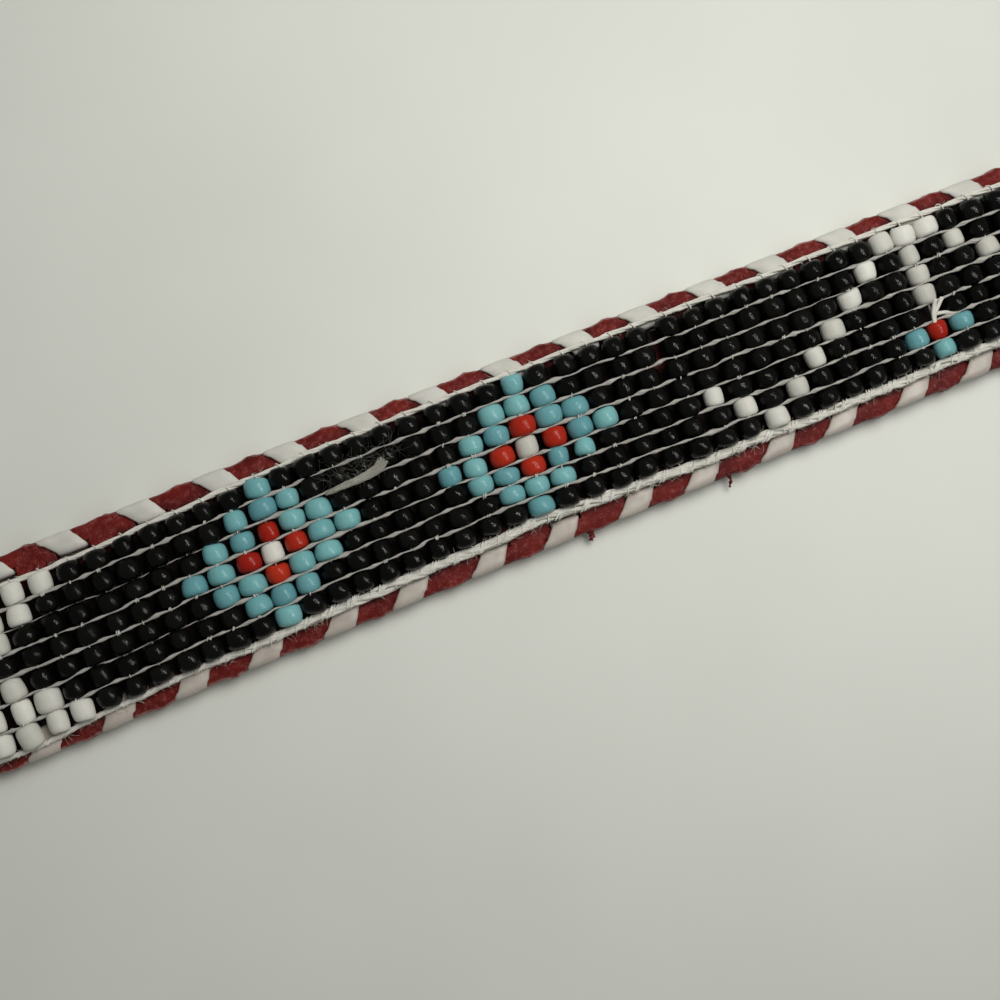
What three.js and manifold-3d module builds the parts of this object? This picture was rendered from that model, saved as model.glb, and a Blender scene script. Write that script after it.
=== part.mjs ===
// A loom-beaded belt lying flat: a leather strap with whip-stitched edges, a woven bead strip and a buckle.
// Millimetres, +X along the belt towards its tip, +Y towards its upper edge, +Z up.
import * as THREE from 'three';
import { mergeVertices } from 'three/addons/utils/BufferGeometryUtils.js';
import Module from 'manifold-3d';

// Leather strap
const strapWidth = 25.4;
const strapThickness = 2;
const strapTipReach = 112;
const tipRoundLength = 15;
const tipCurveSteps = 8;
const strapPlainStretch = 50;
const edgePullIn = 0.7;

// Fold that holds the buckle
const foldFlapLength = 25;
const foldTaperLength = 14;
const foldStepLength = 14;
const prongSlotReach = 9;

// Holes for the prong
const prongHoleDiameter = 3.6;
const prongHolePitch = 19;
const prongHoleCount = 5;
const prongHoleTipInset = 26;
const prongHoleSides = 12;

// Woven strip of beads
const beadRows = 7;
const beadColumns = 149;
const rowPitch = 2.6;
const columnPitch = 3.53;
const beadDiameter = 3.2;
const beadLength = 2.4;
const edgeCordDiameter = 1.1;
const ridgeSteps = 5;

// Flat plastic lace round the edges
const laceWidth = 3.2;
const laceThickness = 0.8;
const stitchPitch = 9.8;
const slitInset = 3.2;
const laceTurnShare = 0.1;
const laceLean = THREE.MathUtils.degToRad(36);
const lacingStartInset = 0.7;

// Buckle
const buckleBar = 3.2;
const buckleBevel = 0.9;
const buckleWindowLength = 19;
const buckleSideRoom = 1;
const buckleCornerRadius = 5;
const buckleCornerSteps = 5;
const prongWidth = 2.8;
const prongThickness = 1.8;
const prongRestShare = 0.9;
const prongTipShare = 1 / 3;

// Clearances
const clearance = 0.2;
const barClearance = 0.5;
const prongClearance = 0.5;
const floorClearance = 0.2;
const cutMargin = 5;

// Heights of the layers
const halfWidth = strapWidth / 2;
const strapBottom = laceThickness + clearance;
const strapTop = strapBottom + strapThickness;
const strapMiddle = (strapBottom + strapTop) / 2;
const laceTop = strapTop + clearance + laceThickness;

// Places along the belt, counted from the buckle's bar
const bandStart = strapPlainStretch;
const bandLength = beadColumns * columnPitch;
const bandEnd = bandStart + bandLength;
const strapLength = bandEnd + strapTipReach;
const firstStitch = bandStart + lacingStartInset;
const stitchCount = Math.floor((bandLength - lacingStartInset) / stitchPitch) + 1;

// The edge cord closes the strip just outside the last row of beads
const outerRow = ((beadRows - 1) / 2) * rowPitch;
const edgeCordMiddle = outerRow + (beadLength + edgeCordDiameter) / 2 + clearance / 2;

// The lace turns round a slit on the inside and round the pulled-in edge on the outside. It moves along the
// belt by its run while it crosses the margin on top, and it is as long as two half laces along the belt.
const slitMiddle = halfWidth - slitInset;
const laceInner = slitMiddle + laceThickness / 2;
const laceOuter = halfWidth - edgePullIn + clearance;
const laceRun = (laceOuter - laceInner) * Math.tan(laceLean);
const laceTurn = laceTurnShare * (stitchPitch - laceRun);
const halfLace = laceWidth / Math.cos(laceLean) / 2;
const laceCornerCut = clearance / 2;

// The strap's fold round the bar lies on the surface
const foldRadius = buckleBar / 2 + barClearance + strapThickness / 2;
const barHeight = foldRadius + strapThickness / 2;
const flapTop = strapThickness + clearance + strapThickness / 2;
const foldArcSteps = 10;
const slopeSteps = 6;

const wasm = await Module();
wasm.setup();

// Closed mesh to solid, for cutting and joining
function toSolid(geometry) {
  const bare = geometry.clone();
  bare.deleteAttribute('normal');
  bare.deleteAttribute('uv');
  const merged = mergeVertices(bare);
  return new wasm.Manifold(new wasm.Mesh({
    numProp: 3,
    vertProperties: new Float32Array(merged.attributes.position.array),
    triVerts: new Uint32Array(merged.index.array),
  }));
}

function toGeometry(solid) {
  const cut = solid.getMesh();
  const geometry = new THREE.BufferGeometry();
  geometry.setAttribute('position', new THREE.BufferAttribute(cut.vertProperties, 3));
  geometry.setIndex(new THREE.BufferAttribute(cut.triVerts, 1));
  geometry.computeVertexNormals();
  return geometry;
}

function boxSolid(lowX, highX, lowY, highY, lowZ, highZ) {
  const box = new THREE.BoxGeometry(highX - lowX, highY - lowY, highZ - lowZ);
  box.translate((lowX + highX) / 2, (lowY + highY) / 2, (lowZ + highZ) / 2);
  return toSolid(box);
}

// An outline drawn in side view, along and up, becomes a prism of the given width across the belt
function extrudeAcross(shape, width) {
  const geometry = new THREE.ExtrudeGeometry(shape, { depth: width, bevelEnabled: false });
  geometry.rotateX(Math.PI / 2);
  geometry.translate(0, width / 2, 0);
  return geometry;
}

// Points of a smooth step from one place to another, without the first
function slope(from, to) {
  const points = [];
  for (let step = 1; step <= slopeSteps; step += 1) {
    const share = step / slopeSteps;
    const eased = (1 - Math.cos(Math.PI * share)) / 2;
    points.push(new THREE.Vector2(
      THREE.MathUtils.lerp(from.x, to.x, share),
      THREE.MathUtils.lerp(from.y, to.y, eased),
    ));
  }
  return points;
}

// Middle line of the leather in side view, from the tip back to the buckle, round its bar and under itself
function strapMiddleLine() {
  const stepStart = new THREE.Vector2(foldFlapLength + foldStepLength, strapMiddle);
  const stepEnd = new THREE.Vector2(foldFlapLength, flapTop);
  const taperStart = new THREE.Vector2(foldTaperLength, flapTop);
  const arcStart = new THREE.Vector2(0, barHeight + foldRadius);
  const points = [new THREE.Vector2(strapLength, strapMiddle), stepStart, ...slope(stepStart, stepEnd)];
  points.push(taperStart, ...slope(taperStart, arcStart));
  for (let step = 1; step <= foldArcSteps; step += 1) {
    const angle = Math.PI / 2 + (Math.PI * step) / foldArcSteps;
    points.push(new THREE.Vector2(foldRadius * Math.cos(angle), barHeight + foldRadius * Math.sin(angle)));
  }
  points.push(new THREE.Vector2(foldFlapLength - strapThickness, barHeight - foldRadius));
  return points;
}

// Outline of a wall of even thickness round a middle line
function wallShape(line, thickness) {
  const left = [];
  const right = [];
  line.forEach((point, index) => {
    const before = line[Math.max(index - 1, 0)];
    const after = line[Math.min(index + 1, line.length - 1)];
    const forward = after.clone().sub(before).normalize();
    const offset = new THREE.Vector2(-forward.y, forward.x).multiplyScalar(thickness / 2);
    left.push(point.clone().add(offset));
    right.push(point.clone().sub(offset));
  });
  return new THREE.Shape([...left, ...right.reverse()]);
}

function stitchStart(index) {
  return firstStitch + index * stitchPitch;
}

// One edge of the strap seen from above: pulled in under each stitch of lace, bulging between them
function edgePoints(side) {
  const reach = halfLace + clearance;
  const gap = stitchPitch - laceTurn - 2 * reach;
  const pulledIn = side * (halfWidth - edgePullIn);
  const points = [];
  for (let index = 0; index < stitchCount; index += 1) {
    const laceEnd = stitchStart(index) + reach;
    points.push(new THREE.Vector2(stitchStart(index) - laceTurn - reach, pulledIn));
    points.push(new THREE.Vector2(laceEnd, pulledIn));
    points.push(new THREE.Vector2(laceEnd + gap / 3, side * halfWidth));
    points.push(new THREE.Vector2(laceEnd + (2 * gap) / 3, side * halfWidth));
  }
  return points;
}

function strapOutline() {
  const tipStart = strapLength - tipRoundLength;
  const shape = new THREE.Shape();
  shape.moveTo(-cutMargin - foldRadius, -halfWidth);
  edgePoints(-1).forEach((point) => shape.lineTo(point.x, point.y));
  shape.lineTo(tipStart, -halfWidth);
  shape.absellipse(tipStart, 0, tipRoundLength, halfWidth, -Math.PI / 2, Math.PI / 2);
  edgePoints(1).reverse().forEach((point) => shape.lineTo(point.x, point.y));
  shape.lineTo(-cutMargin - foldRadius, halfWidth);
  shape.closePath();
  return shape;
}

function planSolid(shape, height) {
  const geometry = new THREE.ExtrudeGeometry(shape, {
    depth: height,
    bevelEnabled: false,
    curveSegments: tipCurveSteps,
  });
  geometry.translate(0, 0, -cutMargin);
  return toSolid(geometry);
}

function slitSolid(index, side) {
  const halfLength = halfLace + clearance;
  const halfSlit = laceThickness / 2 + clearance;
  const middle = stitchStart(index) + laceRun;
  return boxSolid(
    middle - halfLength,
    middle + halfLength,
    side * slitMiddle - halfSlit,
    side * slitMiddle + halfSlit,
    strapBottom - cutMargin,
    strapTop + cutMargin,
  );
}

function prongHoleSolid(index) {
  const radius = prongHoleDiameter / 2;
  const hole = new THREE.CylinderGeometry(radius, radius, strapTop + 2 * cutMargin, prongHoleSides);
  hole.rotateX(Math.PI / 2);
  hole.translate(strapLength - prongHoleTipInset - index * prongHolePitch, 0, strapTop / 2);
  return toSolid(hole);
}

function leatherStrap() {
  const wall = toSolid(extrudeAcross(wallShape(strapMiddleLine(), strapThickness), strapWidth));
  const foldTop = barHeight + foldRadius + strapThickness;
  let strap = wall.intersect(planSolid(strapOutline(), foldTop + 2 * cutMargin));
  for (let index = 0; index < stitchCount; index += 1) {
    strap = strap.subtract(slitSolid(index, 1));
    strap = strap.subtract(slitSolid(index, -1));
  }
  for (let index = 0; index < prongHoleCount; index += 1) {
    strap = strap.subtract(prongHoleSolid(index));
  }
  const halfSlot = prongWidth / 2 + prongClearance;
  const slotStart = -foldRadius - strapThickness;
  strap = strap.subtract(boxSolid(slotStart, prongSlotReach, -halfSlot, halfSlot, -cutMargin, foldTop));
  return toGeometry(strap);
}

// Stations of one whip stitch round the strap's edge: place across as a share of the way from the slit (0) to
// the edge (1), height as a share of the leather (0 bottom, 1 top), the way the lace's outer face lies, the
// side that its corner is cut on, and the share of the crossing on top or the return below done by then.
const laceStations = [
  { across: 1, height: 1, outY: 0, outZ: 1, cutY: 1, cutZ: 0, crossed: 0, returned: 0 },
  { across: 0, height: 1, outY: -1, outZ: 1, cutY: 0, cutZ: 0, crossed: 1, returned: 0 },
  { across: 0, height: 0, outY: -1, outZ: -1, cutY: 0, cutZ: 0, crossed: 1, returned: 0 },
  { across: 1, height: 0, outY: 0, outZ: -1, cutY: 1, cutZ: 0, crossed: 1, returned: 1 - laceTurnShare },
  { across: 1, height: 0, outY: 1, outZ: 0, cutY: 0, cutZ: 1, crossed: 1, returned: 1 - laceTurnShare / 2 },
  { across: 1, height: 1, outY: 1, outZ: 0, cutY: 0, cutZ: -1, crossed: 1, returned: 1 },
];

const stationsPastSlit = 3;

// Four corners of the lace at one station; the lace is cut along the belt there, so its width runs along X
function laceCorners(station, index, side) {
  const moved = station.crossed * laceRun + station.returned * (stitchPitch - laceRun);
  const x = stitchStart(index) + moved;
  const bottom = strapBottom - clearance;
  const top = strapTop + clearance;
  const innerY = THREE.MathUtils.lerp(laceInner, laceOuter, station.across) - station.cutY * laceCornerCut;
  const innerZ = THREE.MathUtils.lerp(bottom, top, station.height) + station.cutZ * laceCornerCut;
  const outerY = innerY + station.outY * laceThickness;
  const outerZ = innerZ + station.outZ * laceThickness;
  return [
    new THREE.Vector3(x - halfLace, side * innerY, innerZ),
    new THREE.Vector3(x + halfLace, side * innerY, innerZ),
    new THREE.Vector3(x + halfLace, side * outerY, outerZ),
    new THREE.Vector3(x - halfLace, side * outerY, outerZ),
  ];
}

const sectionCorners = 4;

// Closed body through a row of sections with four corners each
function sweepSections(sections, flipped) {
  const positions = sections.flat().flatMap((corner) => corner.toArray());
  const faces = [];
  const addFace = (a, b, c) => faces.push(...(flipped ? [a, c, b] : [a, b, c]));
  for (let section = 0; section < sections.length - 1; section += 1) {
    for (let corner = 0; corner < sectionCorners; corner += 1) {
      const a = section * sectionCorners + corner;
      const b = section * sectionCorners + ((corner + 1) % sectionCorners);
      addFace(a, b, b + sectionCorners);
      addFace(a, b + sectionCorners, a + sectionCorners);
    }
  }
  const last = (sections.length - 1) * sectionCorners;
  addFace(0, 2, 1);
  addFace(0, 3, 2);
  addFace(last, last + 1, last + 2);
  addFace(last, last + 2, last + 3);
  const geometry = new THREE.BufferGeometry();
  geometry.setAttribute('position', new THREE.Float32BufferAttribute(positions, 3));
  geometry.setIndex(faces);
  geometry.computeVertexNormals();
  return geometry;
}

function edgeLacing(side) {
  const sections = [];
  for (let index = 0; index < stitchCount; index += 1) {
    laceStations.forEach((station) => sections.push(laceCorners(station, index, side)));
  }
  sections.splice(sections.length - stationsPastSlit, stationsPastSlit);
  return sweepSections(sections, side < 0);
}

// Cross-section of the woven strip: a flat back that steps up over the lace, a ridge for each row, flat cords
function bandSection() {
  const bottom = strapTop + clearance;
  const cordBottom = laceTop + clearance;
  const beadMiddle = bottom + beadDiameter / 2;
  const edge = edgeCordMiddle + edgeCordDiameter / 2;
  const step = outerRow + beadLength / 2 - clearance;
  const valley = beadMiddle + beadDiameter / 4;
  const shape = new THREE.Shape();
  shape.moveTo(-edge, cordBottom);
  shape.lineTo(-step, cordBottom);
  shape.lineTo(-step, bottom);
  shape.lineTo(step, bottom);
  shape.lineTo(step, cordBottom);
  shape.lineTo(edge, cordBottom);
  shape.lineTo(edge, cordBottom + edgeCordDiameter);
  shape.lineTo(outerRow + rowPitch / 2, cordBottom + edgeCordDiameter);
  for (let row = 0; row < beadRows; row += 1) {
    const middle = outerRow - row * rowPitch;
    for (let point = 0; point < ridgeSteps; point += 1) {
      const share = (2 * point) / (ridgeSteps - 1) - 1;
      const rise = (beadDiameter / 4) * Math.sqrt(Math.max(0, 1 - share * share));
      shape.lineTo(middle - (share * beadLength) / 2, valley + rise);
    }
  }
  shape.lineTo(-outerRow - rowPitch / 2, cordBottom + edgeCordDiameter);
  shape.lineTo(-edge, cordBottom + edgeCordDiameter);
  shape.closePath();
  return shape;
}

// The section's own axes become the belt's: across to +Y, up to +Z, and its depth along +X
function beadBand() {
  const geometry = new THREE.ExtrudeGeometry(bandSection(), { depth: bandLength, bevelEnabled: false });
  geometry.rotateX(Math.PI / 2);
  geometry.rotateZ(Math.PI / 2);
  geometry.translate(bandStart, 0, 0);
  return geometry;
}

function roundedRectangle(path, lowX, highX, halfY, radius) {
  path.moveTo(lowX + radius, -halfY);
  path.lineTo(highX - radius, -halfY);
  path.absarc(highX - radius, -halfY + radius, radius, -Math.PI / 2, 0);
  path.lineTo(highX, halfY - radius);
  path.absarc(highX - radius, halfY - radius, radius, 0, Math.PI / 2);
  path.lineTo(lowX + radius, halfY);
  path.absarc(lowX + radius, halfY - radius, radius, Math.PI / 2, Math.PI);
  path.lineTo(lowX, -halfY + radius);
  path.absarc(lowX + radius, -halfY + radius, radius, Math.PI, Math.PI * 1.5);
  return path;
}

// Frame seen from above, with its bar on the origin and its window towards -X
function buckleFrame() {
  const halfBar = buckleBar / 2;
  const innerHalf = halfWidth + buckleSideRoom;
  const farBar = -(buckleWindowLength + buckleBar);
  const outer = roundedRectangle(
    new THREE.Shape(),
    farBar - halfBar + buckleBevel,
    halfBar - buckleBevel,
    innerHalf + buckleBar - buckleBevel,
    buckleCornerRadius - buckleBevel,
  );
  outer.holes.push(roundedRectangle(
    new THREE.Path(),
    farBar + halfBar - buckleBevel,
    -halfBar + buckleBevel,
    innerHalf + buckleBevel,
    Math.max(buckleCornerRadius - buckleBar + buckleBevel, buckleBevel),
  ));
  const geometry = new THREE.ExtrudeGeometry(outer, {
    depth: buckleBar - 2 * buckleBevel,
    bevelThickness: buckleBevel,
    bevelSize: buckleBevel,
    bevelSegments: 1,
    curveSegments: buckleCornerSteps,
  });
  geometry.translate(0, 0, -halfBar + buckleBevel);
  return geometry;
}

// Prong in side view: out of the bar, over the window and onto the far bar
function buckleProng() {
  const farBar = buckleWindowLength + buckleBar;
  const tip = farBar + buckleBar / 2;
  const shape = new THREE.Shape();
  shape.moveTo(0, -prongThickness / 2);
  shape.lineTo(0, prongThickness / 2);
  shape.lineTo(-buckleBar, buckleBar / 2 + prongThickness / 2);
  shape.lineTo(-farBar, buckleBar / 2 + prongThickness * prongRestShare);
  shape.lineTo(-tip, buckleBar / 2 + prongThickness * prongTipShare);
  shape.lineTo(-tip, buckleBar / 2 - prongThickness * prongTipShare);
  shape.lineTo(-farBar + buckleBar / 2, buckleBar / 2 - prongThickness * prongTipShare);
  shape.lineTo(-buckleBar, -prongThickness / 2);
  shape.closePath();
  return extrudeAcross(shape, prongWidth);
}

function beltBuckle() {
  return toGeometry(toSolid(buckleFrame()).add(toSolid(buckleProng())));
}

function addPiece(parent, name, geometry, color, roughness, metalness) {
  const mesh = new THREE.Mesh(geometry, new THREE.MeshStandardMaterial({ color, roughness, metalness }));
  mesh.name = name;
  parent.add(mesh);
  return mesh;
}

const laid = new THREE.Group();
addPiece(laid, 'leather_strap', leatherStrap(), 0x73191c, 0.6, 0);
addPiece(laid, 'edge_lacing_upper', edgeLacing(1), 0xe6dedb, 0.3, 0);
addPiece(laid, 'edge_lacing_lower', edgeLacing(-1), 0xe6dedb, 0.3, 0);
addPiece(laid, 'bead_band', beadBand(), 0x141414, 0.2, 0);

// The buckle leans down from its bar until its far bar is just clear of the surface
const buckle = addPiece(laid, 'belt_buckle', beltBuckle(), 0xc8c4ba, 0.3, 1);
const farBarDrop = barHeight - buckleBar / 2 - floorClearance;
buckle.position.z = barHeight;
buckle.rotation.y = -Math.asin(farBarDrop / (buckleWindowLength + buckleBar));

// The origin is under the middle of the belt, on the surface that it lies on
const laidBox = new THREE.Box3().setFromObject(laid, true);
laid.position.x = -(laidBox.min.x + laidBox.max.x) / 2;
laid.position.y = -(laidBox.min.y + laidBox.max.y) / 2;

const belt = new THREE.Group();
belt.add(laid);
export default belt;
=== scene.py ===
# A loom-beaded belt lying on a pale surface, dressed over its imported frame. All values are in metres.
import math

import bpy
import numpy as np
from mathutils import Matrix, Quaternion, Vector


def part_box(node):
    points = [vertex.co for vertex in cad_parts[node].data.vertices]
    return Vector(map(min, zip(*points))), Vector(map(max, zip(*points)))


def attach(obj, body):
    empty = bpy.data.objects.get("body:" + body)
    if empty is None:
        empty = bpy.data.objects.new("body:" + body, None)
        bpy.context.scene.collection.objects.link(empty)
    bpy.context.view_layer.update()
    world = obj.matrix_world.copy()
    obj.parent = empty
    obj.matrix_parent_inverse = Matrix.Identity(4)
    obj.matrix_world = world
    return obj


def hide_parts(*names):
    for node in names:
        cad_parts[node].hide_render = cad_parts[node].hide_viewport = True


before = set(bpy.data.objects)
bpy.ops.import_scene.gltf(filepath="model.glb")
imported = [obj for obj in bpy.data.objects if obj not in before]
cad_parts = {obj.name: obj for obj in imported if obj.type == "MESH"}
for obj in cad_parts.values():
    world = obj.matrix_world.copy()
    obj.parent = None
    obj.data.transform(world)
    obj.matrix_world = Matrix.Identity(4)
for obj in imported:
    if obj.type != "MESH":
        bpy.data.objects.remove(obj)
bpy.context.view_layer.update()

MM = 0.001

# Places read from the frame
STRAP_LOW, STRAP_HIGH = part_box("leather_strap")
BAND_LOW, BAND_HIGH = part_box("bead_band")
_, BUCKLE_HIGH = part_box("belt_buckle")

# Driving sizes, the same as the source's
CLEARANCE = 0.2 * MM
STRAP_THICKNESS = 2.0 * MM
TIP_ROUND = 15 * MM
FLAP_LENGTH = 25 * MM
FOLD_TAPER = 14 * MM
FOLD_STEP = 14 * MM
FOLD_RADIUS = 3.1 * MM
PRONG_SLOT_REACH = 9 * MM
PRONG_SLOT_WIDTH = 3.8 * MM
HOLE_DIAMETER = 3.6 * MM
HOLE_PITCH = 19 * MM
HOLE_COUNT = 5
HOLE_TIP_INSET = 26 * MM
ROWS = 7
COLUMNS = 149
ROW_PITCH = 2.69 * MM
LACE_WIDTH = 3.2 * MM
LACE_THICKNESS = 0.8 * MM
STITCH_PITCH = 9.8 * MM
SLIT_INSET = 3.2 * MM
LACE_LEAN = math.radians(36)
LACING_START_INSET = 0.7 * MM
BAR = 3.2 * MM
BUCKLE_WINDOW = 19 * MM
BUCKLE_CORNER = 3.4 * MM

# Sizes of what the scene adds
BEAD_WIDTH = 3.27 * MM
BEAD_WIDTH_SPREAD = 0.22 * MM
BEAD_WIDTH_LIMITS = (2.6 * MM, 3.62 * MM)
BLACK_NARROWER = 0.06 * MM
WHITE_NARROWER = 0.38 * MM
BEAD_LENGTH = 2.58 * MM
BEAD_LENGTH_SPREAD = 0.12 * MM
BEAD_LENGTH_LIMITS = (2.1 * MM, 2.72 * MM)
BEAD_BORE = 0.28
BEAD_GAP = 0.02 * MM
BEAD_PUSHES = 12
WARP_WIDTH = 0.62 * MM
WEFT_THREAD = 0.2 * MM
HAIR_WIDTH = 0.035 * MM
STRAP_CORNER = 0.35 * MM
# The lace lies closer to the edge than the plain ribbon of the source
LACE_REACH = 12.3 * MM
LACE_BODY = 0.5 * MM
LACE_CROWN = 0.05 * MM
LACE_OUTER_BEND = 0.5 * MM
LACE_INNER_BEND = 0.3 * MM
SNUG = 0.05 * MM
EDGE_REACH = 12.2 * MM
EDGE_UNDER_LACE = LACE_REACH - LACE_BODY - SNUG

# Worked-out places
STRAP_BOTTOM = LACE_THICKNESS + CLEARANCE
STRAP_TOP = STRAP_BOTTOM + STRAP_THICKNESS
HALF_WIDTH = STRAP_HIGH.y
BAND_LENGTH = BAND_HIGH.x - BAND_LOW.x
COLUMN_PITCH = BAND_LENGTH / COLUMNS
WEAVE_HEIGHT = (BAND_LOW.z + BAND_HIGH.z) / 2
CORD_HEIGHT = STRAP_TOP + LACE_BODY + LACE_CROWN + 2 * SNUG
BAR_X = STRAP_LOW.x + FOLD_RADIUS + STRAP_THICKNESS / 2
BAR_HEIGHT = FOLD_RADIUS + STRAP_THICKNESS / 2
FIRST_STITCH = BAND_LOW.x + LACING_START_INSET
STITCHES = int((BAND_LENGTH - LACING_START_INSET) / STITCH_PITCH) + 1
SLIT_PLACE = HALF_WIDTH - SLIT_INSET
LACE_INNER = SLIT_PLACE + LACE_THICKNESS / 2
LACE_RUN = (LACE_REACH - LACE_INNER) * math.tan(LACE_LEAN)
HALF_LACE = LACE_WIDTH / math.cos(LACE_LEAN) / 2

# The motifs, charted: k black, w white, t turquoise, r orange-red, first row at the upper edge
DIAMOND = (
    "kkktkkk",
    "kktttkk",
    "kttrttk",
    "ttrwrtt",
    "kttrttk",
    "kktttkk",
    "kkktkkk",
)
BRANCHES = (
    "kkkkkkkkwwwkkkkkkkk",
    "kkkkkkkwkwkwkkkkkkk",
    "kkkkkkwkkwkkwkkkkkk",
    "kkkkkwkkkwkkkwkkkkk",
    "wkkkwkkkktkkkkwkkkw",
    "kwkwkkkktrtkkkkwkwk",
    "kkwkkkkkktkkkkkkwkk",
)
WHITE_FIELD = (
    "wwwwwwwwwwwwwwwww",
    "kwwwwwwwwwwwwwwwk",
    "kkwwwwwwwwwwwwwkk",
    "kkkwwwwwwwwwwwkkk",
    "kkwwwwwwwwwwwwwkk",
    "kwwwwwwwwwwwwwwwk",
    "wwwwwwwwwwwwwwwww",
)
MIDDLE_COLUMN = 74
# Each motif with its distance from the middle motif, in columns; the belt's two halves mirror each other
MOTIFS = (
    (BRANCHES, 0),
    (DIAMOND, 16),
    (DIAMOND, 26),
    (WHITE_FIELD, 42),
    (DIAMOND, 58),
    (DIAMOND, 68),
)

# Unevenness of the real belt where the photo shows it, each place in columns from the middle motif.
# Lean of the bead columns in degrees:
COLUMN_LEAN = (
    (-60, 0.0), (-36, 1.2), (-31, 4.4), (-26, 6.7), (-16, 7.9), (-11, 6.0), (-7, 4.5), (-3, 1.5), (0, 0.0),
    (30, 2.5), (60, -2.0),
)
# How far the columns have crept towards the tip, in millimetres:
COLUMN_CREEP = (
    (-50, 0.0), (-36, 0.35), (-31, 0.45), (-26, 0.25), (-22, -0.4), (-16, -0.5), (-10, -0.35), (-5, -0.2),
    (-2, -0.6), (0, -1.2), (2, -1.8), (20, 0.0),
)
# How far the strip of beads has wandered towards the upper edge, in millimetres:
STRIP_WANDER = (
    (-50, 0.0), (-36, -1.0), (-32, -0.9), (-30, -0.45), (-28, -0.25), (-24, 0.5), (-21, 0.64), (-17, 0.76),
    (-14, 0.62), (-8, 0.4), (-2, 0.38), (2, 0.35), (20, 0.0),
)
# How closely the rows below the middle one lie, as a share of their even pitch:
LOWER_SQUEEZE = (
    (-60, 1.0), (-38, 1.13), (-35.5, 1.1), (-33, 1.0), (-22, 0.98), (-17, 0.925), (-13, 0.955), (-8, 0.975),
    (-4, 0.95), (-1, 0.935), (20, 1.0),
)
# How far a stitch of the lacing is from its even place, in millimetres, for each edge:
STITCH_CREEP = {
    1: (
        (11, 0.0), (15, -0.97), (16, -0.35), (17, -0.1), (18, -0.39), (19, -0.2), (20, -0.55), (21, -0.3),
        (22, -0.08), (23, -0.74), (24, -0.99), (25, -2.03), (26, -1.84), (27, -2.44), (28, -3.09), (36, 0.0),
    ),
    -1: (
        (6, 0.0), (15, -2.0), (16, -2.05), (17, -2.12), (18, -1.72), (19, -2.22), (20, -1.17), (21, -1.1),
        (22, -0.48), (23, -0.99), (24, 0.1), (25, -0.76), (26, -0.2), (27, -0.55), (31, 0.0),
    ),
}
# Width of each edge cord, in millimetres:
CORD_WIDTH = {
    1: ((-40, 0.72), (-14, 0.72), (0, 0.8), (20, 0.72)),
    -1: ((-50, 1.2), (-44, 0.66), (-31, 0.66), (-28, 0.95), (-25, 1.2), (-20, 1.25), (0, 1.2)),
}
# How far the inner side of each edge cord lies from the strip's middle, in millimetres:
CORD_PLACE = {
    1: ((-40, 9.1), (-26, 9.21), (-18, 9.28), (-13, 9.4), (-5, 9.5), (0, 9.6), (20, 9.21)),
    -1: ((-40, 9.25), (-28, 9.27), (-20, 9.33)),
}
# How far the strap's edge and its lace stand out past their even line, in millimetres, for each edge:
EDGE_WANDER = {
    1: ((-38, -0.1), (-30, 0.0), (-27, 0.2), (-10, 0.2), (0, 0.3), (20, 0.0)),
    -1: ((-48, 0.0), (-40, 0.75), (-35, 0.8), (-32.5, 0.55), (-29, 0.25), (-25, 0.15), (-21, 0.0)),
}
# Beads pushed apart by a slack stretch: column from the middle motif, last row that it reaches, width opened
SLACK_COLUMN = -10
SLACK_ROWS = 3
SLACK_WIDTH = 0.7 * MM
# How far the first row's beads are drawn together at the middle motif
PINCH = 0.5 * MM
# Row of the bead that is missing from the middle motif
MISSING_ROW = 5
# Warps that sank between the beads: warp from the upper edge, first and last column, depth
SUNK_WARPS = (
    (2, -36, -27.5, 1.3 * MM),
    (5, -33, -29, 0.6 * MM),
    (2, -6, -1, 0.35 * MM),
)

random_source = np.random.default_rng(11)


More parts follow.
